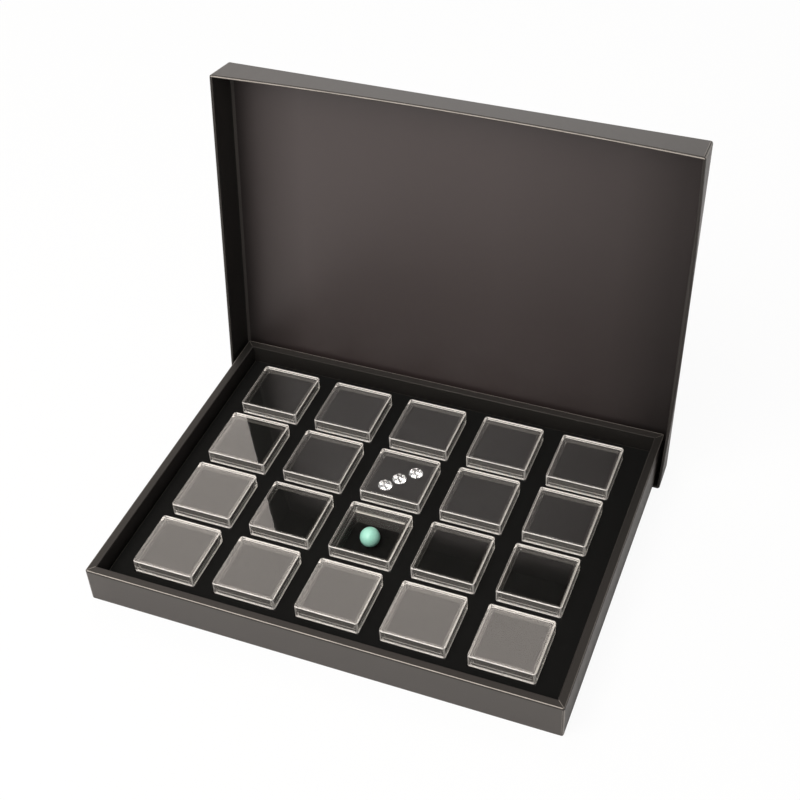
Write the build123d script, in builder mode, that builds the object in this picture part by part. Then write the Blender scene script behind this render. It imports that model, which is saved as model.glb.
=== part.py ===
from build123d import *
from math import cos, radians, sin
import os

# Display case: a wrapped board tray holding twenty small clear boxes in a foam insert,
# with its lift-off lid stood up behind it. All sizes are in millimetres.
# The origin is the middle of the tray's underside, +X runs along the case and +Y to the back.

# Small clear boxes, each a base and a lid
box_side = 30.0
box_height = 14.9
box_corner = 1.9
window_thickness = 1.2
skirt_wall = 1.0
skirt_depth = 6.2
lip_wall = 0.85
lip_gap = 0.15
lip_below_window = 0.2
base_floor = 1.2

# Foam pads inside the boxes
pad_gap = 0.1
pad_below_window = 1.8
thin_pad = 1.5

# How the boxes stand in the tray
columns = 5
rows = 4
column_gap = 10.2
row_gap = 7.6
end_margin = 12.6
side_margin = 9.9
box_reveal = 6.4
pocket_gap = 0.25

# Tray of wrapped board, with a frame that doubles its walls
floor_board = 2.0
wall_board = 2.0
frame_board = 2.0
rim_above_boxes = 2.0
tray_corner = 1.0
insert_gap = 1.0

# Lift-off lid, standing behind the tray with the tray's back end in its mouth
lid_board = 1.4
lid_gap = 1.2
lid_height = 18.2
lid_flare = 0.5
lid_corner = 1.2
lid_lean = 7.1
lid_behind_tray = 0.1
lid_under_tray = 0.5
lining_thickness = 0.2
lining_margin = 0.8

# Samples in two of the boxes: three round brilliants seated in their pad, and a loose bead
stones_in = "r2c3"
stone_diameter = 7.0
stone_table = 4.0
stone_crown = 1.05
stone_girdle = 0.2
stone_pavilion = 3.0
star_meet = 5.5
lower_half_meet = 1.8
stone_fold = 8
stone_below_window = 0.35
stone_seat_gap = 0.2
stone_spots = [(-5.4, -6.1), (-0.5, 0.0), (5.6, 6.1)]
bead_in = "r3c3"
bead_diameter = 9.5
bead_spot = (-1.5, 1.9)
bead_gap = 0.05

# Sizes that follow from those above
tray_length = columns * box_side + (columns - 1) * column_gap + 2 * (end_margin + frame_board + wall_board)
tray_width = rows * box_side + (rows - 1) * row_gap + 2 * (side_margin + frame_board + wall_board)
tray_height = floor_board + box_height + rim_above_boxes
box_bottom = floor_board
box_top = box_bottom + box_height
window_bottom = box_top - window_thickness
shoulder = box_top - skirt_depth
lip_side = box_side - 2 * (skirt_wall + lip_gap)
inner_side = lip_side - 2 * lip_wall
inner_floor = box_bottom + base_floor
pad_top = window_bottom - pad_below_window
insert_top = box_top - box_reveal
lid_length = tray_length + 2 * (lid_gap + lid_board)
lid_width = tray_width + 2 * (lid_gap + lid_board)

os.makedirs("parts", exist_ok=True)


def box_places():
    """Yield each box's name and centre, row 1 at the back and column 1 at the left."""
    column_pitch = box_side + column_gap
    row_pitch = box_side + row_gap
    for row in range(1, rows + 1):
        for column in range(1, columns + 1):
            x = (column - (columns + 1) / 2) * column_pitch
            y = ((rows + 1) / 2 - row) * row_pitch
            yield f"r{row}c{column}", (x, y)


def box_centre(name):
    """Give the centre of one box."""
    return dict(box_places())[name]


def write(builder, label):
    """Label a finished piece and write its file."""
    builder.part.label = label
    export_step(builder.part, f"parts/{label}.step")


# Tray: floor and outer walls, one wrapped board shell
with BuildPart() as tray_shell:
    with BuildSketch():
        RectangleRounded(tray_length, tray_width, tray_corner)
    extrude(amount=tray_height)
    with BuildSketch(Plane.XY.offset(floor_board)):
        Rectangle(tray_length - 2 * wall_board, tray_width - 2 * wall_board)
    extrude(amount=tray_height, mode=Mode.SUBTRACT)
write(tray_shell, "tray_shell")

# Frame glued inside the walls, which makes the broad rim
frame_length = tray_length - 2 * wall_board
frame_width = tray_width - 2 * wall_board
with BuildPart() as tray_frame:
    with BuildSketch(Plane.XY.offset(floor_board)):
        Rectangle(frame_length, frame_width)
        Rectangle(frame_length - 2 * frame_board, frame_width - 2 * frame_board, mode=Mode.SUBTRACT)
    extrude(amount=tray_height - floor_board)
write(tray_frame, "tray_frame")

# Foam insert with a through pocket for each box
with BuildPart() as foam_insert:
    with BuildSketch(Plane.XY.offset(floor_board)):
        clear_frame = 2 * (frame_board + insert_gap)
        Rectangle(frame_length - clear_frame, frame_width - clear_frame)
        with GridLocations(box_side + column_gap, box_side + row_gap, columns, rows):
            Rectangle(box_side + 2 * pocket_gap, box_side + 2 * pocket_gap, mode=Mode.SUBTRACT)
    extrude(amount=insert_top - floor_board)
write(foam_insert, "foam_insert")

# Lid plane: origin at the panel's outer lower edge, local Y up the panel, local Z into the lid
lean = radians(lid_lean)
rim_edge = lid_board - lid_flare
lid_drop = lid_under_tray + rim_edge * cos(lean) + lid_height * sin(lean)
panel_stack = lid_board + lining_thickness + lid_behind_tray
lid_back = tray_width / 2 + (panel_stack - lid_drop * sin(lean)) / cos(lean)
lid_plane = Plane(origin=(0, lid_back, -lid_drop), x_dir=(1, 0, 0), z_dir=(0, -cos(lean), sin(lean)))

# Lid: panel and four walls that flare a little, one wrapped board shell
with BuildPart() as lid_shell:
    for height, spread in ((0, 0), (lid_height, 2 * lid_flare)):
        with BuildSketch(lid_plane.offset(height)):
            with Locations((0, lid_width / 2)):
                RectangleRounded(lid_length + spread, lid_width + spread, lid_corner)
    loft(ruled=True)
    inside = -2 * lid_board
    for height, spread in ((lid_board, inside), (lid_height, inside + 2 * lid_flare)):
        with BuildSketch(lid_plane.offset(height)):
            with Locations((0, lid_width / 2)):
                Rectangle(lid_length + spread, lid_width + spread)
    loft(ruled=True, mode=Mode.SUBTRACT)
write(lid_shell, "lid_shell")

# Paper sheet glued over the wrap's turned-in edges, inside the lid's panel
with BuildPart() as lid_lining:
    with BuildSketch(lid_plane.offset(lid_board)):
        with Locations((0, lid_width / 2)):
            clear_walls = 2 * (lid_board + lining_margin)
            Rectangle(lid_length - clear_walls, lid_width - clear_walls)
    extrude(amount=lining_thickness)
write(lid_lining, "lid_lining")

# Round brilliant: a blank with two sides to each fold, cut by its facet planes as a stone is cut
stone_radius = stone_diameter / 2
table_level = window_bottom - stone_below_window
girdle_top = table_level - stone_crown
girdle_bottom = girdle_top - stone_girdle
culet = girdle_bottom - stone_pavilion
fold_angle = 360 / stone_fold


def polar(radius, angle, height):
    """Place a point by its radius, its angle in degrees and its height."""
    return Vector(radius * cos(radians(angle)), radius * sin(radians(angle)), height)


def facet_plane(first, second, third):
    """Make the plane through three points that faces away from the stone's middle."""
    normal = (second - first).cross(third - first).normalized()
    if normal.dot(first - Vector(0, 0, girdle_top)) < 0:
        normal = normal * -1
    return Plane(origin=first, z_dir=normal)


def facet_planes():
    """Yield every facet's plane: bezels, stars, pavilion mains, upper halves and lower halves."""
    meet = cos(radians(fold_angle / 2))
    bezel_slope = stone_crown / (stone_radius - stone_table / 2)
    main_slope = stone_pavilion / stone_radius
    star_level = girdle_top + bezel_slope * (stone_radius - meet * star_meet / 2)
    lower_level = girdle_bottom - main_slope * (stone_radius - meet * lower_half_meet / 2)
    for step in range(stone_fold):
        here = step * fold_angle
        between = here + fold_angle / 2
        beyond = here + fold_angle
        across = Vector(-sin(radians(here)), cos(radians(here)), 0)
        upper = polar(stone_radius, here, girdle_top)
        lower = polar(stone_radius, here, girdle_bottom)
        corner = polar(stone_table / 2, here, table_level)
        star = polar(star_meet / 2, between, star_level)
        low = polar(lower_half_meet / 2, between, lower_level)
        yield facet_plane(upper, upper + across, corner)
        yield facet_plane(corner, polar(stone_table / 2, beyond, table_level), star)
        yield facet_plane(lower, lower + across, Vector(0, 0, culet))
        for turn in (here, beyond):
            crown_edge = polar(stone_radius, between, girdle_top)
            yield facet_plane(crown_edge, polar(stone_radius, turn, girdle_top), star)
            pavilion_edge = polar(stone_radius, between, girdle_bottom)
            yield facet_plane(pavilion_edge, polar(stone_radius, turn, girdle_bottom), low)


with BuildPart() as brilliant:
    with BuildSketch(Plane.XY.offset(culet)):
        RegularPolygon(radius=stone_radius, side_count=2 * stone_fold)
    extrude(amount=table_level - culet)
    for cut in facet_planes():
        split(bisect_by=cut, keep=Keep.BOTTOM)

stone_x, stone_y = box_centre(stones_in)
with BuildPart() as sample_stones:
    with Locations(*[(stone_x + dx, stone_y + dy) for dx, dy in stone_spots]):
        add(brilliant.part)
write(sample_stones, "sample_stones")

# Seat that a stone presses into its pad: the pavilion's facets, stood off by the gap
with BuildPart() as stone_seat:
    with BuildSketch(Plane.XY.offset(culet - stone_seat_gap)):
        RegularPolygon(radius=stone_radius + stone_seat_gap, side_count=2 * stone_fold)
    extrude(amount=pad_top - culet + stone_seat_gap)
    for cut in facet_planes():
        split(bisect_by=cut.offset(stone_seat_gap), keep=Keep.BOTTOM)

# Bead lying loose on its box's thin pad
bead_x, bead_y = box_centre(bead_in)
bead_level = inner_floor + pad_gap + thin_pad + bead_gap + bead_diameter / 2
with BuildPart() as sample_bead:
    with Locations((bead_x + bead_spot[0], bead_y + bead_spot[1], bead_level)):
        Sphere(bead_diameter / 2)
write(sample_bead, "sample_bead")

for name, place in box_places():
    # Base: square body with a rebated lip that the lid's skirt closes round
    with BuildPart() as base:
        with BuildSketch(Plane.XY.offset(box_bottom)):
            with Locations(place):
                RectangleRounded(box_side, box_side, box_corner)
        extrude(amount=shoulder - box_bottom)
        with BuildSketch(Plane.XY.offset(shoulder)):
            with Locations(place):
                Rectangle(lip_side, lip_side)
        extrude(amount=window_bottom - lip_below_window - shoulder)
        with BuildSketch(Plane.XY.offset(inner_floor)):
            with Locations(place):
                Rectangle(inner_side, inner_side)
        extrude(amount=box_height, mode=Mode.SUBTRACT)

    # Foam pad, thin under the bead and near the window in every other box
    pad_bottom = inner_floor + pad_gap
    pad_height = thin_pad if name == bead_in else pad_top - pad_bottom
    with BuildPart() as pad:
        with BuildSketch(Plane.XY.offset(pad_bottom)):
            with Locations(place):
                Rectangle(inner_side - 2 * pad_gap, inner_side - 2 * pad_gap)
        extrude(amount=pad_height)
        if name == stones_in:
            with Locations(*[(place[0] + dx, place[1] + dy) for dx, dy in stone_spots]):
                add(stone_seat.part, mode=Mode.SUBTRACT)

    # The pad stays a solid of its own beside the base
    with BuildPart() as filled_base:
        add(base.part)
        add(pad.part)
    write(filled_base, f"box_{name}_base")

    # Lid: clear window and skirt
    with BuildPart() as lid:
        with BuildSketch(Plane.XY.offset(shoulder)):
            with Locations(place):
                RectangleRounded(box_side, box_side, box_corner)
        extrude(amount=skirt_depth)
        with BuildSketch(Plane.XY.offset(shoulder)):
            with Locations(place):
                Rectangle(box_side - 2 * skirt_wall, box_side - 2 * skirt_wall)
        extrude(amount=window_bottom - shoulder, mode=Mode.SUBTRACT)
    write(lid, f"box_{name}_lid")
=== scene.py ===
import logging
from collections.abc import Callable
from dataclasses import dataclass
from enum import Enum
from math import atan2, cos, pi, radians, sin
from typing import ClassVar, Optional, Union

import bmesh
import bpy
from mathutils import Matrix, Vector


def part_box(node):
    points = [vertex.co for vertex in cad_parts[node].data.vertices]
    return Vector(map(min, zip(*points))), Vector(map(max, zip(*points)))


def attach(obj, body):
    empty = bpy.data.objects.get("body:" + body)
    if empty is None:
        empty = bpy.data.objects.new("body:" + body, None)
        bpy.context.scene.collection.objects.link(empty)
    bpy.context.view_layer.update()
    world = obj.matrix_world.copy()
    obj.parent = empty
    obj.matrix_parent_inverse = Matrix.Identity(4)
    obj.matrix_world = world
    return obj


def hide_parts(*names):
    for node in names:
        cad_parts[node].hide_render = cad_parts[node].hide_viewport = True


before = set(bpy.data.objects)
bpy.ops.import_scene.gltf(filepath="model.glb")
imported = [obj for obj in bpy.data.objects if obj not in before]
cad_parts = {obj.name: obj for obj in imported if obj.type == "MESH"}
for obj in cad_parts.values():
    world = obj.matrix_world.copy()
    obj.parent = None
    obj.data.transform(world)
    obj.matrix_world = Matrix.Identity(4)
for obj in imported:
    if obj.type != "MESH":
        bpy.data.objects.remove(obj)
log = logging.getLogger("display_case")

MM = 0.001
RIGHT, BACK, UP = (Vector(axis) for axis in ((1, 0, 0), (0, 1, 0), (0, 0, 1)))
NEAR = 0.01
WELD = 0.0005
BOX_NAMES = [f"r{row}c{column}" for row in range(1, 5) for column in range(1, 6)]
Colour = tuple[float, float, float]
Face = bmesh.types.BMFace


def srgb(red: int, green: int, blue: int) -> Colour:
    """Turn a colour written in display values into the linear values that shaders take.

    Args:
        red: Red, 0 to 255.
        green: Green, 0 to 255.
        blue: Blue, 0 to 255.

    Returns:
        The same colour, linear, 0 to 1.
    """
    straight_part = 0.04045
    shares = (value / 255 for value in (red, green, blue))
    return tuple(s / 12.92 if s <= straight_part else ((s + 0.055) / 1.055) ** 2.4 for s in shares)


class Socket:
    """One output of a shader tree, which expressions can be written with."""

    def __init__(self, tree: "ShaderTree", output: bpy.types.NodeSocket) -> None:
        """Keep the tree and the node's output."""
        self.tree = tree
        self.output = output

    def _math(self, operation: str, first: "Value", second: "Value") -> "Socket":
        """Add a Math node on two values."""
        return self.tree.node("ShaderNodeMath", {"operation": operation}, {0: first, 1: second})

    def __add__(self, other: "Value") -> "Socket":
        """Add a value."""
        return self._math("ADD", self, other)

    def __radd__(self, other: "Value") -> "Socket":
        """Add this to a value."""
        return self._math("ADD", other, self)

    def __sub__(self, other: "Value") -> "Socket":
        """Take a value away."""
        return self._math("SUBTRACT", self, other)

    def __rsub__(self, other: "Value") -> "Socket":
        """Take this away from a value."""
        return self._math("SUBTRACT", other, self)

    def __mul__(self, other: "Value") -> "Socket":
        """Multiply by a value."""
        return self._math("MULTIPLY", self, other)

    def __rmul__(self, other: "Value") -> "Socket":
        """Multiply a value by this."""
        return self._math("MULTIPLY", other, self)

    def __or__(self, other: "Value") -> "Socket":
        """Take the larger of the two, as where either mask holds."""
        return self._math("MAXIMUM", self, other)


Value = Union[Socket, float]


class ShaderTree:
    """The nodes of one material or of the world."""

    def __init__(self, nodes: bpy.types.NodeTree) -> None:
        """Empty the node tree of a material or a world and take it over."""
        self.nodes = nodes
        nodes.nodes.clear()

    def node(self, kind: str, settings: Optional[dict] = None, inputs: Optional[dict] = None,
             output: Union[int, str] = 0) -> Socket:
        """Add one node.

        Args:
            kind: The node's type name.
            settings: Properties that are set first. The key "stops" holds a ramp's places and colours.
            inputs: Values or links for its sockets, by name or number.
            output: Which output is wanted.

        Returns:
            The wanted output.
        """
        made = self.nodes.nodes.new(kind)
        for name, setting in (settings or {}).items():
            if name == "stops":
                self._stops(made.color_ramp, setting)
            else:
                setattr(made, name, setting)
        for name, value in (inputs or {}).items():
            socket = made.inputs[name]
            if isinstance(value, Socket):
                self.nodes.links.new(value.output, socket)
            elif socket.type == "RGBA":
                socket.default_value = (*value, 1.0)
            else:
                socket.default_value = value
        return Socket(self, made.outputs[output] if made.outputs else None)

    def _stops(self, ramp: bpy.types.ColorRamp, stops: list[tuple[float, Colour]]) -> None:
        """Set a ramp's places and colours."""
        for element, (place, colour) in zip(ramp.elements, stops):
            element.position = place
            element.color = (*colour, 1.0)
        for place, colour in stops[len(ramp.elements):]:
            ramp.elements.new(place).color = (*colour, 1.0)

    def place(self) -> Socket:
        """Give the point on the piece, in the object's own frame."""
        return self.node("ShaderNodeTexCoord", output="Object")

    def layer(self, name: str) -> Socket:
        """Read one of the layers that a Workpiece marks on its faces."""
        return self.node("ShaderNodeAttribute", {"attribute_name": name}, output="Fac")

    def noise(self, size: float, detail: float = 3.0, stretch: Colour = (1, 1, 1)) -> Socket:
        """Add a noise pattern on the piece.

        Args:
            size: Rough size of one spot, in millimetres.
            detail: How many finer layers it has.
            stretch: How much finer it is along each axis.

        Returns:
            The pattern, 0 to 1.
        """
        point = self.node("ShaderNodeMapping", {}, {"Vector": self.place(), "Scale": stretch})
        inputs = {"Vector": point, "Scale": 1 / (size * MM), "Detail": detail}
        return self.node("ShaderNodeTexNoise", {}, inputs)

    def mix(self, share: Value, first: Union[Socket, Colour], second: Union[Socket, Colour]) -> Socket:
        """Blend two colours, by the share of the second."""
        return self.node("ShaderNodeMix", {"data_type": "RGBA"}, {0: share, 6: first, 7: second}, 2)

    def bump(self, height: Socket, depth: float, strength: float, over: Optional[Socket] = None) -> Socket:
        """Add a bump.

        Args:
            height: Height pattern.
            depth: Depth of the pattern, in millimetres.
            strength: How strongly it shows.
            over: A coarser bump that this one lies on.

        Returns:
            The normal.
        """
        inputs = {"Height": height, "Distance": depth * MM, "Strength": strength}
        if over is not None:
            inputs["Normal"] = over
        return self.node("ShaderNodeBump", {}, inputs)

    def mix_shaders(self, share: Value, first: Socket, second: Socket) -> Socket:
        """Blend two shaders."""
        return self.node("ShaderNodeMixShader", {}, {0: share, 1: first, 2: second})

    def ray(self, kind: str) -> Socket:
        """Give 1 for rays of one kind, by Light Path's name."""
        return self.node("ShaderNodeLightPath", output=kind)

    def mirror_ray(self) -> Socket:
        """Give 1 for what is seen in a reflection or through something clear."""
        return self.ray("Is Glossy Ray") | self.ray("Is Transmission Ray")

    def surface(self, shader: Socket, kind: str = "ShaderNodeOutputMaterial") -> None:
        """Send a shader to the output."""
        self.node(kind, {}, {"Surface": shader})


class Finish:
    """A material of the record's slots, made once and shared."""

    slot: str

    def material(self) -> bpy.types.Material:
        """Make the material, or give the one made before.

        Returns:
            The material.
        """
        name = f"{self.slot}_finish"
        if name in bpy.data.materials:
            return bpy.data.materials[name]
        made = bpy.data.materials.new(name)
        made.use_nodes = True
        tree = ShaderTree(made.node_tree)
        tree.surface(self.shader(tree))
        return made

    def shader(self, tree: ShaderTree) -> Socket:
        """Build the finish's shader."""
        raise NotImplementedError


@dataclass(frozen=True)
class Paper(Finish):
    """Satin paper glued over board: worn and painted with highlights where it is folded over an edge, painted
    with shade where the shade layer marks it.
    """

    slot: str
    colour: Colour
    # Colour of worn folds, also laid on folds as a painted highlight.
    rub_and_highlight: Colour
    # Colour of the painted shade, mixed in where the shade layer or the end shades mark it.
    inner: Colour = srgb(9, 9, 8)
    fibre: float = 0.35
    cloud: float = 22.0
    shade: float = 0.10
    rub_least: float = 0.55
    rub_spread: float = 0.9
    roughness: float = 0.60
    unevenness: float = 0.12
    sheen_roughness: float = 0.55
    sheen: float = 0.8
    gloss: float = 0.55
    sheen_colour: Colour = (1.0, 0.91, 0.84)
    tooth: float = 0.03
    tooth_strength: float = 0.35
    grain: Colour = (1.0, 0.55, 0.8)
    scuff: float = 1.6
    patch: float = 9.0
    dent: float = 6.0
    dent_depth: float = 0.05
    dent_strength: float = 0.25
    reach: float = 112.0
    end_shades: tuple[tuple[float, float], ...] = ()

    def shader(self, tree: ShaderTree) -> Socket:
        """Build fibres, faint clouds, worn folds with painted highlights, painted shade and a satin coat.

        Args:
            tree: The tree to build in.

        Returns:
            The shader.
        """
        fibres = tree.noise(self.fibre, 4.0, self.grain)
        clouds = tree.noise(self.cloud, 2.0)
        light = tuple(min(1.0, c * (1 + self.shade)) for c in self.colour)
        dark = tuple(c * (1 - self.shade) for c in self.colour)
        ground = tree.mix(clouds * 0.5 + fibres * 0.5, dark, light)
        spots = self.rub_spread * tree.noise(self.scuff) * tree.noise(self.patch, 1.0)
        # Edge layer: worn folds and painted highlights.
        rub_and_highlight_mask = tree.layer("edge") * (self.rub_least + spots)
        # Shade layer: painted shade, which also takes the sheen away.
        painted_shade = tree.layer("shade")
        if self.end_shades:
            painted_shade = painted_shade | self._painted_end_shade(tree)
        colour = tree.mix(painted_shade, tree.mix(rub_and_highlight_mask, ground, self.rub_and_highlight), self.inner)
        roughness = self.roughness - self.unevenness / 2 + self.unevenness * fibres
        dents = tree.bump(tree.noise(self.dent, 2.0), self.dent_depth, self.dent_strength)
        normal = tree.bump(fibres, self.tooth, self.tooth_strength, dents)
        return tree.node("ShaderNodeBsdfPrincipled", {}, {
            "Base Color": colour, "Roughness": roughness, "Normal": normal,
            "Coat Weight": self.sheen * (1 - painted_shade), "Coat Roughness": self.sheen_roughness,
            "Specular Tint": self.sheen_colour, "Specular IOR Level": self.gloss,
        })

    def _painted_end_shade(self, tree: ShaderTree) -> Socket:
        """Give the painted shade along the sheet's length, darker towards its ends as its end shades say."""
        across = tree.node("ShaderNodeSeparateXYZ", {}, {"Vector": tree.place()}, "X")
        along = 0.5 + across * (0.5 / (self.reach * MM))
        stops = [(place, (shade, shade, shade)) for place, shade in self.end_shades]
        return tree.node("ShaderNodeValToRGB", {"stops": stops}, {"Fac": along})


@dataclass(frozen=True)
class Foam(Finish):
    """Dense black foam with fine cells."""

    slot: str = "black_foam"
    colour: Colour = srgb(17, 17, 16)
    edge_highlight_colour: Colour = srgb(74, 71, 66)
    cell: float = 0.28
    cell_share: float = 0.6
    cell_light: float = 0.6
    cell_depth: float = 0.06
    cell_strength: float = 0.5
    dust: float = 0.9
    roughness: float = 0.95
    gloss: float = 0.15

    def shader(self, tree: ShaderTree) -> Socket:
        """Build the cells, the matt black and the painted highlight on faces that the edge layer marks.

        Args:
            tree: The tree to build in.

        Returns:
            The shader.
        """
        cells = tree.node("ShaderNodeTexVoronoi", {}, {"Vector": tree.place(), "Scale": 1 / (self.cell * MM)})
        light = cells * self.cell_share + tree.noise(self.dust, 2.0) * (1 - self.cell_share)
        colour = tree.mix(light, tuple(c * self.cell_light for c in self.colour), self.colour)
        colour = tree.mix(tree.layer("edge"), colour, self.edge_highlight_colour)
        normal = tree.bump(cells, self.cell_depth, self.cell_strength)
        return tree.node("ShaderNodeBsdfPrincipled", {}, {
            "Base Color": colour, "Roughness": self.roughness, "Normal": normal,
            "Specular IOR Level": self.gloss,
        })


@dataclass(frozen=True)
class ClearMaterial(Finish):
    """A clear solid, such as moulded acrylic or a cut stone."""

    slot: str
    refraction: float
    colour: Colour = (0.985, 0.985, 0.975)
    roughness: float = 0.0
    waviness: float = 0.0
    wave: float = 9.0
    frost: Colour = (0.98, 0.93, 0.88)
    frost_roughness: float = 0.5
    frost_gloss: float = 0.15
    # Strength of the painted glow.
    painted_glow_strength: float = 0.3
    shadow: Colour = (0.96, 0.96, 0.95)

    def shader(self, tree: ShaderTree) -> Socket:
        """Build the clear solid, its frosted edges, the painted glow on faces that the shade layer marks and
        the light it lets through.

        Args:
            tree: The tree to build in.

        Returns:
            The shader.
        """
        inputs = {
            "Base Color": self.colour, "IOR": self.refraction, "Transmission Weight": 1.0,
            "Roughness": self.roughness,
        }
        if self.waviness:
            inputs["Normal"] = tree.bump(tree.noise(self.wave, 1.0), self.waviness, 1.0)
        clear = tree.node("ShaderNodeBsdfPrincipled", {}, inputs)
        # The shade layer drives a painted glow here: emission in the frost colour.
        painted_light = tree.mix(tree.layer("shade"), (0, 0, 0), self.frost)
        frosted = tree.node("ShaderNodeBsdfPrincipled", {}, {
            "Base Color": self.frost, "Roughness": self.frost_roughness,
            "Coat Weight": 1.0, "Coat Roughness": self.frost_gloss,
            "Emission Color": painted_light, "Emission Strength": self.painted_glow_strength,
        })
        solid = tree.mix_shaders(tree.layer("edge"), clear, frosted)
        through = tree.node("ShaderNodeBsdfTransparent", {}, {"Color": self.shadow})
        return tree.mix_shaders(tree.ray("Is Shadow Ray") | tree.ray("Is Diffuse Ray"), solid, through)


@dataclass(frozen=True)
class Glaze(Finish):
    """Turquoise bead, smooth, with faint clouding under the polish."""

    slot: str = "glazed_bead"
    colour: Colour = srgb(174, 250, 226)
    pale: Colour = srgb(190, 252, 236)
    roughness: float = 0.28
    unevenness: float = 0.1
    coat: float = 0.3
    cloud: float = 2.6
    smear: float = 0.5
    pit: float = 0.7
    pit_depth: float = 0.01
    pit_strength: float = 0.4

    def shader(self, tree: ShaderTree) -> Socket:
        """Build the clouded turquoise and its polish."""
        return tree.node("ShaderNodeBsdfPrincipled", {}, {
            "Base Color": tree.mix(tree.noise(self.cloud, 4.0), self.colour, self.pale),
            "Roughness": self.roughness + self.unevenness * tree.noise(self.smear, 2.0),
            "Normal": tree.bump(tree.noise(self.pit, 2.0), self.pit_depth, self.pit_strength),
            "Coat Weight": self.coat,
        })


class Side(Enum):
    """The sides of a rectangular piece, by the way they look."""

    FRONT = (0, -1)
    RIGHT = (1, 0)
    BACK = (0, 1)
    LEFT = (-1, 0)

    @classmethod
    def of(cls, face: Face) -> "Side":
        """Name the side on which a face lies, from its middle."""
        return max(cls, key=lambda side: middle_of(face).xy.dot(Vector(side.value)))


Test = Callable[[Face], bool]
Shares = dict[Side, float]


def middle_of(face: Face) -> Vector:
    """Give a face's middle."""
    return face.calc_center_median()


def stands(face: Face) -> bool:
    """Say whether a face stands upright."""
    return abs(face.normal.z) < 0.1


def looks_inwards(face: Face) -> bool:
    """Say whether a face stands upright and looks at its piece's own middle."""
    return stands(face) and middle_of(face).dot(face.normal) < 0


def lies_at(face: Face, level: float, slack: float = 0.1) -> bool:
    """Say whether a face lies flat at a height and looks up."""
    return face.normal.z > 0.9 and abs(middle_of(face).z - level) < slack


def square(side: float) -> Vector:
    """Give a square's half length and half width."""
    return Vector((side / 2, side / 2))


def show(name: str, data: bpy.types.ID) -> bpy.types.Object:
    """Make an object of a mesh, a lamp or a camera and put it in the scene."""
    made = bpy.data.objects.new(name, data)
    bpy.context.scene.collection.objects.link(made)
    return made


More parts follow.
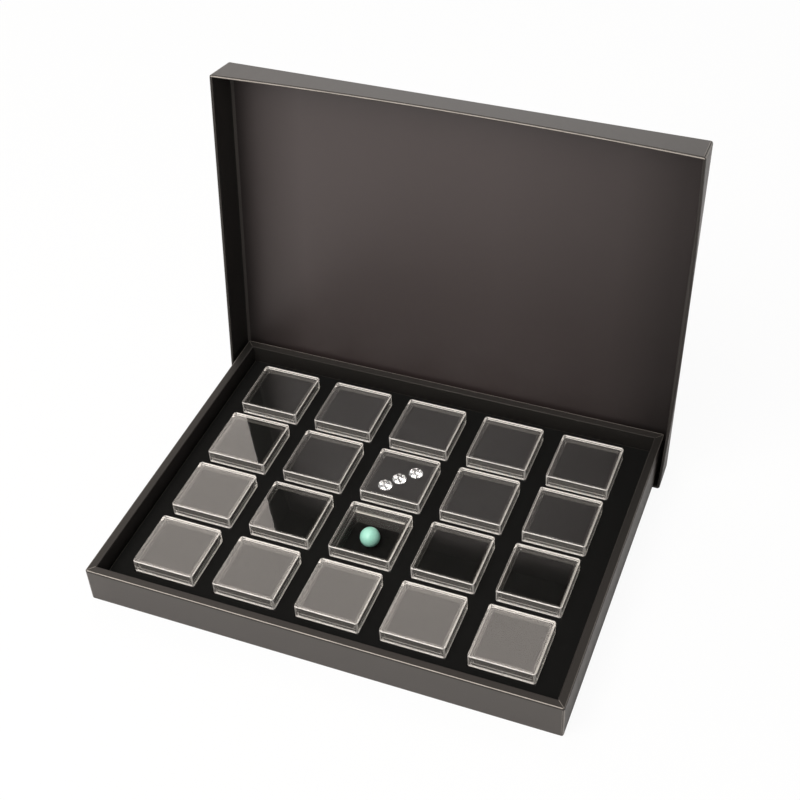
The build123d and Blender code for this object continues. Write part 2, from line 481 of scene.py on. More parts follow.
class Workpiece:
    """A mesh in work, shaped by cutting, sinking and rounding. Its sizes are in millimetres."""

    corner_reach: ClassVar[float] = 2.1
    least_fold: ClassVar[float] = 0.9

    def __init__(self) -> None:
        """Start empty, with layers for worn, frosted or painted-highlight edges, for painted shade or painted
        glow, and for roundings.
        """
        self.mesh = bmesh.new()
        self.edge = self.mesh.faces.layers.float.new("edge")
        self.shade = self.mesh.faces.layers.float.new("shade")
        self.round = self.mesh.faces.layers.int.new("round")

    def block(self, low: Vector, high: Vector) -> None:
        """Add a block between its lowest and its highest corner."""
        size = Matrix.Diagonal((*(high - low), 1.0))
        bmesh.ops.create_cube(self.mesh, size=1.0, matrix=Matrix.Translation((low + high) / 2) @ size)

    def facing(self, direction: Vector, level: float) -> Face:
        """Find the face that looks one way and lies nearest to a level along that way."""
        near = [f for f in self.mesh.faces if f.normal.dot(direction) > 0.99]
        return min(near, key=lambda f: abs(middle_of(f).dot(direction) - level))

    def step(self, face: Face, margin: float, travel: float) -> Face:
        """Draw a smaller outline in a face and move it along the face's normal.

        Args:
            face: The face.
            margin: How far inside the outline lies.
            travel: How far it moves, below zero to sink it.

        Returns:
            The moved face.
        """
        normal = face.normal.copy()
        bmesh.ops.inset_region(self.mesh, faces=[face], thickness=margin, use_even_offset=True)
        moved = bmesh.ops.extrude_discrete_faces(self.mesh, faces=[face])["faces"][0]
        bmesh.ops.translate(self.mesh, verts=moved.verts, vec=normal * travel)
        self.mesh.normal_update()
        return moved

    def round_edges(self, test: Callable[[Vector, Vector], bool], radius: float, segments: int,
                    fold: float = 0.0, shade: float = 0.0) -> None:
        """Round the edges that pass a test.

        Args:
            test: Given an edge's two ends, says whether it is meant.
            radius: The rounding's radius.
            segments: Its number of facets.
            fold: The new faces' share on the edge layer.
            shade: Their share on the shade layer.
        """
        edges = [e for e in self.mesh.edges if test(e.verts[0].co, e.verts[1].co)]
        made = bmesh.ops.bevel(
            self.mesh, geom=edges, offset=radius, offset_type="OFFSET", segments=segments,
            profile=0.5, affect="EDGES", material=-1, clamp_overlap=True,
        )
        for face in made["faces"]:
            face[self.edge] = fold
            face[self.shade] = shade
            face[self.round] = 1
        self.mesh.normal_update()

    def round_uprights(self, half: Vector, radius: float, segments: int, fold: float = 0.0) -> None:
        """Round the four upright edges at the corners of a rectangle about the origin.

        Args:
            half: The rectangle's half length and half width.
            radius: The corners' radius.
            segments: Facets in each corner.
            fold: Share for the edge layer.
        """
        def at_corner(point: Vector) -> bool:
            return max(abs(abs(point.x) - half.x), abs(abs(point.y) - half.y)) < 2 * NEAR

        self.round_edges(lambda a, b: at_corner(a) and at_corner(b) and abs(a.z - b.z) > 0.1,
                         radius, segments, fold)

    def round_loop(self, level: float, half: Vector, radius: float, segments: int, fold: float = 0.0,
                   shade: float = 0.0) -> None:
        """Round the level outline of a rectangle about the origin.

        Args:
            level: The outline's height.
            half: The rectangle's half length and half width.
            radius: The rounding's radius.
            segments: Its number of facets.
            fold: Share for the edge layer.
            shade: Share for the shade layer.
        """
        def ends_of(a: Vector, b: Vector) -> frozenset:
            return frozenset((tuple(a), tuple(b)))

        chosen = {
            ends_of(e.verts[0].co, e.verts[1].co) for e in self.mesh.edges
            if all(abs(v.co.z - level) < NEAR / 2 for v in e.verts)
            and len(e.link_faces) == 2 and e.calc_face_angle() > self.least_fold
            and self._on_outline((e.verts[0].co + e.verts[1].co) / 2, half)
        }
        self.round_edges(lambda a, b: ends_of(a, b) in chosen, radius, segments, fold, shade)

    def _on_outline(self, point: Vector, half: Vector) -> bool:
        """Say whether a point lies on a rectangle's outline, or in one of its rounded corners."""
        inside = (half.x - abs(point.x), half.y - abs(point.y))
        return abs(min(inside)) < 3 * NEAR or all(0 <= depth < self.corner_reach for depth in inside)

    def mark(self, layer: bmesh.types.BMLayerItem, share: float, test: Test) -> None:
        """Write a share, 0 to 1, on the edge or the shade layer of every face that passes a test."""
        for face in self.mesh.faces:
            if test(face):
                face[layer] = share

    def mark_sides(self, layer: bmesh.types.BMLayerItem, shares: Shares, test: Test,
                   scale: float = 1.0) -> None:
        """Write each side's own share, times a scale, on those of its faces that pass a test."""
        for side, share in shares.items():
            self.mark(layer, share * scale, lambda f: test(f) and Side.of(f) is side)

    def cut(self, point: Vector, normal: Vector, faces: Optional[list[Face]] = None) -> None:
        """Cut new edges where a plane crosses the mesh.

        Args:
            point: A point of the plane.
            normal: The way that the plane looks.
            faces: The faces that are cut, if not all.
        """
        if faces is None:
            parts = [*self.mesh.verts, *self.mesh.edges, *self.mesh.faces]
        else:
            parts = [*faces, *(e for f in faces for e in f.edges), *(v for f in faces for v in f.verts)]
        bmesh.ops.bisect_plane(self.mesh, geom=list(dict.fromkeys(parts)), plane_co=point, plane_no=normal)

    def paint_wrap_seams(self) -> None:
        """Paint the wrap's overlap on each upright corner: a slit of painted shade beside an edge of painted
        highlight.
        """
        slit, rub = (0.35, 0.6), (0.8, 0.95)
        marks = ((self.shade, 1.0, slit), (self.edge, 0.0, slit), (self.edge, 0.6, rub))
        for layer, share, (least, most) in marks:
            self.mark(layer, share, lambda f: stands(f) and least < abs(f.normal.x) < most)

    def place(self, matrix: Matrix) -> None:
        """Move every point by a matrix, still in millimetres."""
        bmesh.ops.transform(self.mesh, matrix=matrix, verts=self.mesh.verts)

    def finish(self, name: str, finish: Finish, smooth: bool = False) -> bpy.types.Object:
        """Turn the workpiece into an object in metres.

        Args:
            name: The piece's name.
            finish: Its finish.
            smooth: Whether all of it is shaded smooth, and not its roundings alone.

        Returns:
            The object, at the origin, with its place in its mesh.
        """
        bmesh.ops.remove_doubles(self.mesh, verts=self.mesh.verts, dist=WELD)
        bmesh.ops.recalc_face_normals(self.mesh, faces=self.mesh.faces)
        bmesh.ops.scale(self.mesh, vec=(MM, MM, MM), verts=self.mesh.verts)
        for face in self.mesh.faces:
            face.smooth = smooth or bool(face[self.round])
        data = bpy.data.meshes.new(name)
        self.mesh.to_mesh(data)
        self.mesh.free()
        made = show(name, data)
        data.materials.append(finish.material())
        log.info("%s: %d faces", name, len(data.polygons))
        return made


WRAP = Paper("wrap_paper", srgb(44, 40, 37), srgb(196, 188, 178))
# The lining carries painted shade towards its two ends, where the lid's walls shade it.
LINING = Paper("lining_paper", srgb(40, 32, 31), srgb(70, 64, 60), roughness=0.50,
               sheen_roughness=0.40, sheen_colour=(1.0, 0.85, 0.83),
               end_shades=((0.0, 0.9), (0.054, 0.55), (0.15, 0.0), (0.6, 0.0), (0.857, 0.4), (0.969, 0.9)))
FOAM = Foam()
ACRYLIC = ClearMaterial("clear_acrylic", 1.49, waviness=0.004)
STONE = ClearMaterial("cut_stone", 2.42, (1.0, 1.0, 1.0))
GLAZE = Glaze()


@dataclass
class Tray:
    """The case's tray: wrapped board walls with a frame glued inside, and the foam insert."""

    rim: float = 4.0
    floor: float = 2.0
    corner: float = 1.0
    fold_radius: float = 0.5
    # Painted shade on the fold's lower facets.
    fold_painted_shade: float = 0.95
    crease_width: float = 0.45
    pocket: float = 30.5
    mitre_depth: float = 0.10
    mitre_width: float = 0.5
    foam_softness: float = 0.55
    # Share of the painted highlight on the insert's outer rounding.
    foam_edge_light: float = 0.5
    inner_shade: float = 0.9
    corner_rub: float = 0.25
    foot_rub: float = 0.1
    # Painted highlight on one side of the mitre hairline.
    mitre_highlight: float = 0.3
    # Per side: painted shade on the rim, worn and painted highlight on the outer fold, painted shade in the
    # crease under it.
    rim_shade: ClassVar[Shares] = {Side.FRONT: 0.80, Side.RIGHT: 0.94, Side.BACK: 0.78, Side.LEFT: 0.92}
    fold_rub_and_highlight: ClassVar[Shares] = {Side.FRONT: 0.85, Side.RIGHT: 0.10, Side.BACK: 0.80, Side.LEFT: 0.20}
    crease: ClassVar[Shares] = {Side.FRONT: 0.8, Side.RIGHT: 1.0, Side.BACK: 0.5, Side.LEFT: 0.5}

    def build_walls(self) -> None:
        """Make the wrapped walls and floor as one folded shell with mitred corners on its rim."""
        low, high = (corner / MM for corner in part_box("tray_shell"))
        half = Vector((high.x, high.y))
        work = Workpiece()
        work.block(low, high)
        work.step(work.facing(UP, high.z), self.rim, self.floor - high.z)
        inner = half - Vector((self.rim, self.rim))
        # Painted shade on the rim, by side, and on the inner walls.
        work.mark_sides(work.shade, self.rim_shade, lambda f: lies_at(f, high.z))
        work.mark(work.shade, self.inner_shade, looks_inwards)
        work.round_uprights(half, self.corner, 6, self.corner_rub)
        work.paint_wrap_seams()
        # The outer fold is worn and painted with a highlight; the inner fold gets painted shade.
        work.round_loop(high.z, half, self.fold_radius, 4, 1.0)
        self._paint_fold_light_and_shade(work, high.z)
        work.round_loop(high.z, inner, self.fold_radius, 4, 0.0, self.inner_shade)
        work.round_loop(low.z, half, self.fold_radius, 3, self.foot_rub)
        self._score_mitres(work, inner, high.z)
        walls = work.finish("wrapped_tray", WRAP)
        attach(walls, "tray")
        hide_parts("tray_shell", "tray_frame")

    def _paint_fold_light_and_shade(self, work: Workpiece, top: float) -> None:
        """Paint shade into the crease that the wrap leaves under the rim's outer fold and onto the fold's
        lower facets, and share the fold's worn and painted highlight out by side.
        """
        level = top - self.fold_radius - self.crease_width

        def in_fold(face: Face) -> bool:
            high_up = middle_of(face).z > top - self.fold_radius
            return bool(face[work.round]) and high_up and 0.05 < face.normal.z < 0.6

        def in_crease(face: Face) -> bool:
            outside = middle_of(face).dot(face.normal) > 0
            return outside and abs(face.normal.z) < 0.05 and middle_of(face).z > level

        work.mark_sides(work.edge, self.fold_rub_and_highlight, lambda f: f[work.edge] == 1.0)
        work.mark(work.edge, 0.0, in_fold)
        work.mark(work.shade, self.fold_painted_shade, in_fold)
        work.cut(UP * level, UP)
        work.mark_sides(work.shade, self.crease, in_crease)

    def _score_mitres(self, work: Workpiece, inner: Vector, top: float) -> None:
        """Sink a hairline along each corner's mitre on the rim, with painted highlight on one side of it and
        painted shade on the other.

        Args:
            work: The walls in work.
            inner: Half size of the tray's mouth.
            top: The rim's height.
        """
        def across(point: Vector) -> float:
            return (abs(point.x) - inner.x) - (abs(point.y) - inner.y)

        def on_mitre(a: Vector, b: Vector) -> bool:
            level = max(abs(a.z - top), abs(b.z - top)) < NEAR
            return level and min(abs(a.x - b.x), abs(a.y - b.y)) > 1

        def in_shade(face: Face) -> bool:
            on_line = face.normal.z > 0.5 and abs(face[work.edge] - self.mitre_highlight) < NEAR
            return on_line and across(middle_of(face)) < 0

        work.round_edges(on_mitre, self.mitre_width / 2, 2, self.mitre_highlight)
        work.mark(work.shade, 1.0, in_shade)
        end = 0.3
        for point in (vertex.co for vertex in work.mesh.verts):
            in_rim = end < abs(point.x) - inner.x < self.rim - end
            if abs(point.z - top) < NEAR and abs(across(point)) < 6 * NEAR and in_rim:
                point.z -= self.mitre_depth

    def build_insert(self) -> None:
        """Make the foam insert with its twenty cut pockets."""
        low, high = (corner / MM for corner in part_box("foam_insert"))
        places = [centre_of(f"box_{name}_base") for name in BOX_NAMES]
        across = sorted({round(p.x, 3) for p in places})
        along = sorted({round(p.y, 3) for p in places})
        work = Workpiece()
        work.block(low, high)
        for centres, axis in ((across, RIGHT), (along, BACK)):
            for level in (c + side * self.pocket / 2 for c in centres for side in (-1, 1)):
                work.cut(axis * level, axis)
        for x in across:
            for y in along:
                self._open_pocket(work, Vector((x, y)))

        def top_edge(a: Vector, b: Vector) -> bool:
            if max(abs(a.z - high.z), abs(b.z - high.z)) > NEAR:
                return False
            return self._outline(a, b, high) or any(self._beside(a, b, x, y) for x in across for y in along)

        def outer_rounding(face: Face) -> bool:
            middle = middle_of(face)
            return 0.1 < face.normal.z < 0.97 and self._outline(middle, middle, high - Vector((1, 1, 0)))

        work.round_edges(top_edge, self.foam_softness, 3)
        work.mark(work.edge, self.foam_edge_light, outer_rounding)
        insert = work.finish("foam_insert_cut", FOAM)
        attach(insert, "tray")
        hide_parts("foam_insert")

    def _open_pocket(self, work: Workpiece, centre: Vector) -> None:
        """Cut one pocket through: take its top and bottom away and bridge them."""
        level = [f for f in work.mesh.faces if abs(f.normal.z) > 0.9]
        over = [f for f in level if (middle_of(f).xy - centre).length < 0.5]
        rings = [e for f in over for e in f.edges]
        bmesh.ops.delete(work.mesh, geom=over, context="FACES_ONLY")
        bmesh.ops.bridge_loops(work.mesh, edges=rings)

    def _beside(self, a: Vector, b: Vector, x: float, y: float) -> bool:
        """Say whether an edge lies on one pocket's outline."""
        aside = [abs(p.x - x) - self.pocket / 2 for p in (a, b)]
        ahead = [abs(p.y - y) - self.pocket / 2 for p in (a, b)]
        return max(aside + ahead) < NEAR and (min(aside) > -NEAR or min(ahead) > -NEAR)

    def _outline(self, a: Vector, b: Vector, high: Vector) -> bool:
        """Say whether an edge lies on the insert's outline."""
        return min(abs(a.x), abs(b.x)) > high.x - NEAR or min(abs(a.y), abs(b.y)) > high.y - NEAR


def centre_of(node: str) -> Vector:
    """Give the middle of a CAD node's box, in millimetres."""
    low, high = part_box(node)
    return (low + high) / 2 / MM


@dataclass
class CaseLid:
    """The case's lift-off lid, leaning behind the tray."""

    lean: float = 7.1
    board: float = 1.4
    depth: float = 18.2
    flare: float = 0.5
    panel_length: float = 229.2
    panel_width: float = 175.8
    corner: float = 1.2
    fold_radius: float = 0.45
    # Painted shade on the rim's folds.
    fold_painted_shade: float = 0.6
    inner_shade: float = 0.95
    rim_shade: float = 0.92
    # Painted highlight on the top rim's face.
    top_rim_highlight: float = 0.85
    corner_rub: float = 0.25
    panel_rub: float = 0.35
    bow: float = 2.1
    side_bow: float = 2.0
    bow_steps: int = 24
    spread: float = 1.0

    def frame_of_panel(self) -> Matrix:
        """Give the matrix from the lid's own frame, its panel at z 0, to where it leans.

        Returns:
            The matrix, in millimetres.
        """
        low, high = (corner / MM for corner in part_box("lid_shell"))
        turn = radians(self.lean)
        up = Vector((0, sin(turn), cos(turn)))
        into = Vector((0, -cos(turn), sin(turn)))
        axes = Matrix((RIGHT, up, into)).transposed().to_4x4()
        foot = Matrix.Translation((0, high.y - self.panel_width * sin(turn), low.z))
        return foot @ axes @ Matrix.Translation((0, self.panel_width / 2, 0))

    def build(self) -> None:
        """Make the lid's wrapped shell and dress its lining sheet."""
        half = Vector((self.panel_length / 2, self.panel_width / 2))
        work = Workpiece()
        work.block(Vector((-half.x, -half.y, 0)), Vector((half.x, half.y, self.depth)))
        work.step(work.facing(UP, self.depth), self.board, self.board - self.depth)
        inner = half - Vector((self.board, self.board))
        work.mark(work.shade, self.inner_shade, looks_inwards)
        work.round_uprights(half, self.corner, 5, self.corner_rub)
        work.paint_wrap_seams()
        # Painted highlight on the top rim's face, painted shade on the other rims.
        work.mark(work.edge, self.top_rim_highlight, lambda f: lies_at(f, self.depth) and middle_of(f).y > inner.y)
        work.mark(work.shade, self.rim_shade, lambda f: lies_at(f, self.depth) and middle_of(f).y < inner.y)
        # Painted shade on the rim's outer and inner folds.
        work.round_loop(self.depth, half, self.fold_radius, 4, 0.0, self.fold_painted_shade)
        work.round_loop(self.depth, inner, self.fold_radius, 4, 0.0, self.fold_painted_shade)
        work.round_loop(0.0, half, self.fold_radius, 4, self.panel_rub)
        self._warp(work, half)
        work.place(self.frame_of_panel())
        shell = work.finish("wrapped_lid", WRAP)
        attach(shell, "case_lid")
        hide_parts("lid_shell")
        dress("lid_lining", LINING)

    def _warp(self, work: Workpiece, half: Vector) -> None:
        """Flare the walls, bow the long top wall and let the left end spread, as wrapped board does.

        Args:
            work: The shell in work, in the lid's own frame.
            half: Half size of the panel.
        """
        for axis in (RIGHT * half.x, BACK * half.y):
            for index in range(1, self.bow_steps):
                work.cut(axis * (2 * index / self.bow_steps - 1), axis.normalized())
        for point in (vertex.co for vertex in work.mesh.verts):
            share = point.z / self.depth
            outward = Vector((1 if point.x > 0 else -1, 1 if point.y > 0 else -1, 0))
            if point.y > half.y - 2 * self.board:
                point.y += self.bow * share * max(0.0, 1 - (point.x / half.x) ** 2)
            if point.x < 2 * self.board - half.x:
                point.x -= self.spread
            if point.x > half.x - 2 * self.board:
                point.x += self.side_bow * share * max(0.0, 1 - (point.y / half.y) ** 2)
            point += outward * self.flare * share


def dress(node: str, finish: Finish) -> None:
    """Give a CAD node that stays its finish."""
    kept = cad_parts[node]
    kept.data.materials.clear()
    kept.data.materials.append(finish.material())
    log.info("%s: kept", node)


@dataclass
class SmallBox:
    """One small clear box: base, foam pad and cover, all about the box's own middle.

    Levels are heights over the tray's underside. Frost, haze and highlight are shares of frosting; frosted
    rims, rings, corner lines and the back band stand partly for painted highlights.
    """

    name: str
    side: float = 30.4
    corner: float = 1.4
    shoulder: float = 10.7
    bottom: float = 2.0
    lip_side: float = 27.7
    lip_top: float = 15.5
    inner_side: float = 26.0
    inner_floor: float = 3.2
    top: float = 16.9
    plate: float = 1.2
    skirt: float = 1.0
    edge: float = 0.32
    corner_frost: float = 0.12
    # Frost on the corner lines, a painted highlight.
    corner_highlight: float = 0.75
    # Frost on the back band, a painted highlight.
    back_band_highlight: float = 0.95
    band_depth: float = 2.2
    ridge_level: float = 12.2
    ridge_half: float = 0.18
    ridge_height: float = 0.07
    ridge_margin: float = 0.3
    ridge_frost: float = 0.6
    rim_frost: float = 1.0
    seam_frost: float = 0.8
    ring_frost: float = 0.9
    lip_frost: float = 0.1
    wall_haze: float = 0.045
    seam_gap: float = 0.03
    pad_gap: float = 0.1
    pad_softness: float = 0.5
    pad_top: float = 13.9
    thin_pad_top: float = 4.8
    seat_reach: float = 3.5
    seat_depth: float = 3.0
    net_step: float = 0.4
    # Painted light: frost share for each side, set by how bright that side looks under the lamps.
    painted_light: ClassVar[Shares] = {Side.FRONT: 0.72, Side.RIGHT: 0.5, Side.BACK: 1.0, Side.LEFT: 0.1}

    @property
    def centre(self) -> Matrix:
        """The box's place in the tray."""
        middle = centre_of(f"box_{self.name}_lid")
        return Matrix.Translation((middle.x, middle.y, 0))

    def build(self, seats: list[Vector], thin: bool) -> None:
        """Make the box's three pieces.

        Args:
            seats: Where stones press into its pad, from the box's middle.
            thin: Whether its pad is the thin one.
        """
        base = self.base()
        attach(base, f"box_{self.name}")
        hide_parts(f"box_{self.name}_base")
        pad = self.pad(seats, self.thin_pad_top if thin else self.pad_top)
        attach(pad, f"box_{self.name}")
        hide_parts(f"box_{self.name}_base")
        cover = self.cover()
        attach(cover, f"box_{self.name}_cover")
        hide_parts(f"box_{self.name}_lid")

    def base(self) -> bpy.types.Object:
        """Make the base: a square body with a rebated lip.

        Returns:
            The piece.
        """
        half, lip, inner = (square(side) for side in (self.side, self.lip_side, self.inner_side))
        shoulder = self.shoulder - self.seam_gap
        work = Workpiece()
        work.block(Vector((-half.x, -half.y, self.bottom)), Vector((half.x, half.y, shoulder)))
        lip_face = work.step(work.facing(UP, shoulder), half.x - lip.x, self.lip_top - shoulder)
        work.step(lip_face, lip.x - inner.x, self.inner_floor - self.lip_top)
        work.mark(work.edge, self.wall_haze, stands)
        work.round_uprights(half, self.corner, 6, self.corner_frost)
        work.round_uprights(lip, self.corner / 2, 4, self.wall_haze)
        work.round_uprights(inner, self.corner / 4, 3, self.wall_haze)
        self._frost(work, self.ring_frost, lambda f: lies_at(f, shoulder))
        work.round_loop(self.bottom, half, self.edge, 3)
        work.round_loop(shoulder, half, self.edge / 2, 2, self.seam_frost)
        work.round_loop(self.lip_top, lip, self.edge / 2, 2, self.lip_frost)
        self._raise_ridge(work, lip)
        work.place(self.centre)
        return work.finish(f"acrylic_base_{self.name}", ACRYLIC)

    def _frost(self, work: Workpiece, frost: float, test: Test) -> None:
        """Frost faces that pass a test, by a share for each side that is painted light: more on the sides
        that look brighter under the lamps.
        """
        work.mark_sides(work.edge, self.painted_light, test, frost)

    def _light_corners(self, work: Workpiece, inner: Vector) -> None:
        """Frost a fine line down each of the cover's outer corners: a painted highlight for the light that
        gathers there.
        """
        def on_line(face: Face) -> bool:
            diagonal = min(abs(face.normal.x), abs(face.normal.y)) > 0.55
            return diagonal and abs(middle_of(face).x) > inner.x

        work.mark(work.edge, self.corner_highlight, on_line)

    def _raise_ridge(self, work: Workpiece, lip: Vector) -> None:
        """Raise the fine ridge round the lip that holds the cover's skirt.

        Args:
            work: The base in work, still about the origin.
            lip: Half size of the lip.
        """
        def on_ridge(point: Vector, slack: float) -> bool:
            outside = max(map(abs, point.xy)) > self.inner_side / 2 + self.ridge_margin
            return outside and abs(point.z - self.ridge_level) < slack

        for offset in (-self.ridge_half, 0, self.ridge_half):
            work.cut(UP * (self.ridge_level + offset), UP)
        reach = lip.x - self.corner
        for point in (vertex.co for vertex in work.mesh.verts):
            if on_ridge(point, NEAR):
                nearest = Vector([max(-reach, min(reach, value)) for value in point.xy])
                point += ((point.xy - nearest).normalized() * self.ridge_height).to_3d()
        work.mark(work.edge, self.ridge_frost, lambda f: on_ridge(middle_of(f), self.ridge_half))

    def cover(self) -> bpy.types.Object:
        """Make the cover: a window with a skirt.

        Returns:
            The piece.
        """
        half, inner = square(self.side), square(self.side - 2 * self.skirt)
        work = Workpiece()
        work.block(Vector((-half.x, -half.y, self.shoulder)), Vector((half.x, half.y, self.top)))
        work.step(work.facing(-UP, -self.shoulder), self.skirt, self.shoulder + self.plate - self.top)
        work.mark(work.edge, self.wall_haze, stands)
        work.round_uprights(half, self.corner, 6, self.corner_frost)
        self._light_corners(work, inner)
        work.round_uprights(inner, self.corner / 2, 4, self.wall_haze)
        self._frost(work, self.ring_frost, lambda f: f.normal.z < -0.9 and middle_of(f).z < self.shoulder + 1)
        work.cut(UP * (self.top - self.band_depth), UP)
        self._paint_back_band(work, half)
        work.round_loop(self.top, half, self.edge, 4, self.rim_frost)
        self._frost(work, self.rim_frost, lambda f: bool(f[work.round]) and 0.05 < f.normal.z < 0.99)
        work.round_loop(self.shoulder, half, self.edge / 2, 2, self.seam_frost)
        work.round_loop(self.shoulder, inner, self.edge / 2, 2, self.lip_frost)
        work.place(self.centre)
        return work.finish(f"acrylic_cover_{self.name}", ACRYLIC)

    def _paint_back_band(self, work: Workpiece, half: Vector) -> None:
        """Frost the band along the cover's back and give it a painted glow, for the light that leaves through
        the window's edge.
        """
        def in_band(face: Face) -> bool:
            middle = middle_of(face)
            return face.normal.y > 0.99 and middle.y > half.y - 0.1 and middle.z > self.top - self.band_depth

        work.mark(work.edge, self.back_band_highlight, in_band)
        # The shade layer here drives the painted glow.
        work.mark(work.shade, 1.0, in_band)

    def pad(self, seats: list[Vector], top: float) -> bpy.types.Object:
        """Make the foam pad, pressed in where stones sit.

        Args:
            seats: Where the stones sit, from the box's middle.
            top: The pad's top.

        Returns:
            The piece.
        """
        half = square(self.inner_side - 2 * self.pad_gap)
        work = Workpiece()
        work.block(Vector((-half.x, -half.y, self.inner_floor + self.pad_gap)), Vector((half.x, half.y, top)))
        work.round_uprights(half, self.pad_softness, 2)
        work.round_loop(top, half, self.pad_softness / 2, 2)
        if seats:
            self._press_seats(work, seats, top, half.x)
        work.place(self.centre)
        return work.finish(f"foam_pad_{self.name}", FOAM)

    def _press_seats(self, work: Workpiece, seats: list[Vector], top: float, half: float) -> None:
        """Cut the pad's top into a fine net and press a cone into it under each stone.

        Args:
            work: The pad in work.
            seats: The stones' middles.
            top: The pad's top.
            half: Half of the pad's side.
        """
        count = int(2 * half / self.net_step)
        for axis in (RIGHT, BACK):
            for index in range(1, count):
                flat = [f for f in work.mesh.faces if lies_at(f, top, NEAR)]
                work.cut(axis * (index * 2 * half / count - half), axis, flat)
        for vertex in (v for v in work.mesh.verts if v.co.z > top - NEAR):
            nearest = min((vertex.co.xy - seat).length for seat in seats)
            if nearest < self.seat_reach:
                vertex.co.z -= (1 - nearest / self.seat_reach) * self.seat_depth
                for face in vertex.link_faces:
                    face[work.round] = 1


@dataclass
class Samples:
    """What two of the boxes hold: three cut stones and one bead."""

    stone_box: str = "r2c3"
    bead_box: str = "r3c3"
    bead_segments: int = 48
    bead_turn: float = 35.0

    def seats(self) -> list[Vector]:
        """Find the stones' tips, from the middle of their box.

        Returns:
            One point for each stone.
        """
        middle = centre_of(f"box_{self.stone_box}_lid").xy
        work = bmesh.new()
        work.from_mesh(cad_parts["sample_stones"].data)
        bmesh.ops.remove_doubles(work, verts=work.verts, dist=1e-6)
        lowest = min(v.co.z for v in work.verts)
        tips = [v.co.xy / MM - middle for v in work.verts if v.co.z < lowest + 0.02 * MM]
        work.free()
        return tips

    def build(self) -> None:
        """Dress the stones, and make the bead."""
        dress("sample_stones", STONE)
        low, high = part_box("sample_bead")
        middle, radius = centre_of("sample_bead"), (high.x - low.x) / 2 / MM
        work = Workpiece()
        bmesh.ops.create_uvsphere(work.mesh, u_segments=self.bead_segments,
                                  v_segments=self.bead_segments // 2, radius=radius)
        work.place(Matrix.Translation(middle) @ Matrix.Rotation(radians(self.bead_turn), 4, "Y"))
        bead = work.finish("turquoise_bead", GLAZE, smooth=True)
        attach(bead, f"box_{self.bead_box}")
        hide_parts("sample_bead")


@dataclass(frozen=True)
class Softbox:
    """One large lamp, aimed at the case."""

    name: str
    azimuth: float
    elevation: float
    width: float
    height: float
    brightness: float
    distance: float = 1.5
    tint: Colour = (1.0, 1.0, 1.0)

    def hang(self) -> None:
        """Hang the lamp on its sight line. Azimuth 0 is behind the case and 90 on its left."""
        turn, rise = radians(self.azimuth), radians(self.elevation)
        towards = Vector((-sin(turn) * cos(rise), cos(turn) * cos(rise), sin(rise)))
        data = bpy.data.lights.new(self.name, "AREA")
        data.shape = "RECTANGLE"
        data.size, data.size_y = self.width, self.height
        data.color = self.tint
        data.energy = self.brightness * pi * self.width * self.height
        lamp = show(self.name, data)
        aim = (-towards).to_track_quat("-Z", "Y").to_matrix().to_4x4()
        lamp.matrix_world = Matrix.Translation(towards * self.distance) @ aim


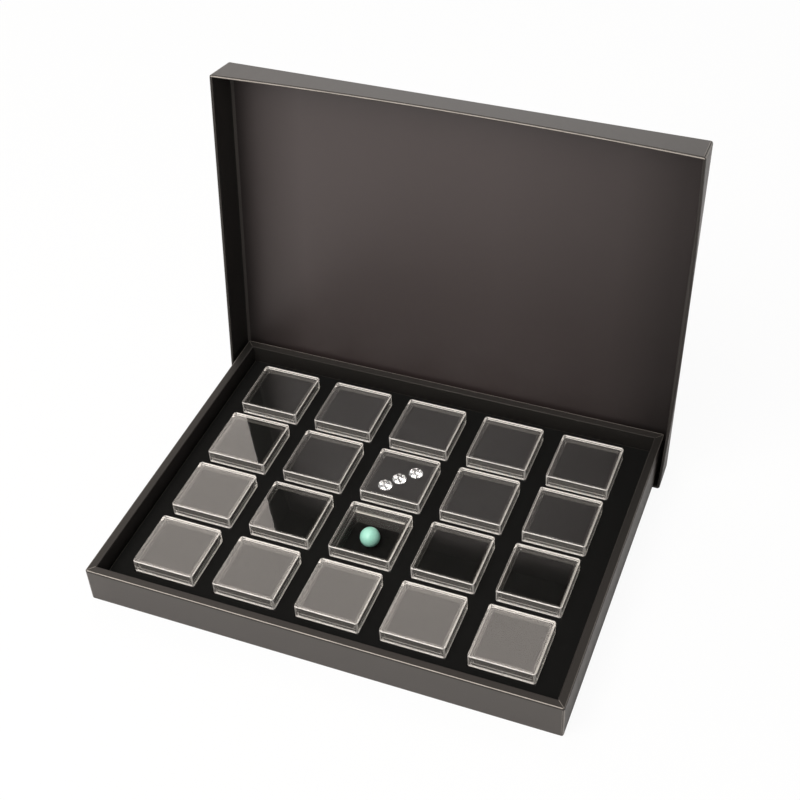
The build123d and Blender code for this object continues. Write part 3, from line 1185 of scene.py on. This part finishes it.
@dataclass
class Studio:
    """Floor, light and camera."""

    focal_pixels: float = 1424.67
    frame_pixels: float = 800.0
    sensor: float = 36.0
    azimuth: float = 0.408276
    elevation: float = 0.735176
    roll: float = -0.054397
    camera_place: tuple[float, float, float] = (192.463, -421.540, 500.172)
    floor_reach: float = 3.0
    floor_white: float = 0.86
    sky_level: float = 0.34
    backdrop_top: float = 0.45
    backdrop_fade: float = 0.25
    shadow_share: float = 0.06
    mirrored_shadow_share: float = 0.9

    def build(self) -> None:
        """Make the floor, the sky, the lamps and the camera."""
        self._floor()
        self._sky()
        Softbox("back_softbox", azimuth=38.0, elevation=53.0, width=1.1, height=0.80, brightness=1.85,
                tint=(1.0, 0.90, 0.82)).hang()
        Softbox("front_softbox", azimuth=153.0, elevation=56.0, width=1.1, height=0.9, brightness=6.6,
                tint=(1.0, 0.96, 0.93)).hang()
        self._camera()

    def _floor(self) -> None:
        """Lay the floor through the tray's front edge and the lid's lower corner."""
        tray_low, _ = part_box("tray_shell")
        lid_low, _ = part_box("lid_shell")
        lid = CaseLid()
        touch = lid.frame_of_panel() @ Vector((0, -lid.panel_width / 2, 0)) * MM
        front = Vector((0, tray_low.y + MM, tray_low.z))
        tilt = atan2(touch.z - front.z, touch.y - front.y)
        work = bmesh.new()
        bmesh.ops.create_circle(work, cap_ends=True, segments=96, radius=self.floor_reach)
        matrix = Matrix.Translation(front) @ Matrix.Rotation(tilt, 4, "X")
        bmesh.ops.transform(work, matrix=matrix, verts=work.verts)
        data = bpy.data.meshes.new("floor")
        work.to_mesh(data)
        work.free()
        floor = show("floor", data)
        white = bpy.data.materials.new("studio_white")
        white.use_nodes = True
        tree = ShaderTree(white.node_tree)
        lit = tree.node("ShaderNodeBsdfDiffuse", {}, {"Color": (self.floor_white,) * 3})
        bright = tree.node("ShaderNodeEmission", {}, {"Color": (1, 1, 1), "Strength": 1.0})
        seen = tree.ray("Is Camera Ray") * (1 - self.shadow_share)
        mirrored = tree.mirror_ray() * (1 - self.mirrored_shadow_share)
        tree.surface(tree.mix_shaders(seen | mirrored, lit, bright))
        data.materials.append(white)

    def _sky(self) -> None:
        """Light the object at a plain level, and show white to the camera and to clear and glossy things."""
        world = bpy.data.worlds.new("studio")
        bpy.context.scene.world = world
        world.use_nodes = True
        tree = ShaderTree(world.node_tree)
        way = tree.node("ShaderNodeTexCoord", output="Generated")
        height = tree.node("ShaderNodeSeparateXYZ", {}, {"Vector": way}, "Z")
        backdrop = tree.node("ShaderNodeMapRange", {}, {
            "Value": height, "To Min": 1.0, "To Max": 0.0,
            "From Min": self.backdrop_top, "From Max": self.backdrop_top + self.backdrop_fade,
        })
        seen = tree.ray("Is Camera Ray") | tree.mirror_ray() * backdrop
        strength = self.sky_level + (1 - self.sky_level) * seen
        sky = tree.node("ShaderNodeBackground", {}, {"Color": (1, 1, 1), "Strength": strength})
        tree.surface(sky, "ShaderNodeOutputWorld")

    def _camera(self) -> None:
        """Set the camera to the photograph's viewing angle."""
        data = bpy.data.cameras.new("camera")
        data.sensor_width = self.sensor
        data.lens = self.focal_pixels / self.frame_pixels * self.sensor
        data.clip_start = 0.01
        camera = show("camera", data)
        level = Vector((cos(self.azimuth), sin(self.azimuth), 0))
        behind = Vector((sin(self.azimuth), -cos(self.azimuth), 0))
        back = behind * cos(self.elevation) + UP * sin(self.elevation)
        up = back.cross(level)
        right = cos(self.roll) * level + sin(self.roll) * up
        top = cos(self.roll) * up - sin(self.roll) * level
        axes = Matrix((right, top, back)).transposed().to_4x4()
        camera.matrix_world = Matrix.Translation(Vector(self.camera_place) * MM) @ axes
        bpy.context.scene.camera = camera


def main() -> None:
    """Build every sub-assembly, then the studio."""
    logging.basicConfig(level=logging.INFO, format="%(name)s %(message)s")
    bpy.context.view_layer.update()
    bpy.context.scene.view_settings.view_transform = "Standard"
    tray = Tray()
    tray.build_walls()
    tray.build_insert()
    CaseLid().build()
    samples = Samples()
    seats = samples.seats()
    for name in BOX_NAMES:
        SmallBox(name).build(seats if name == samples.stone_box else [], name == samples.bead_box)
    samples.build()
    Studio().build()


if __name__ == "__main__":
    main()
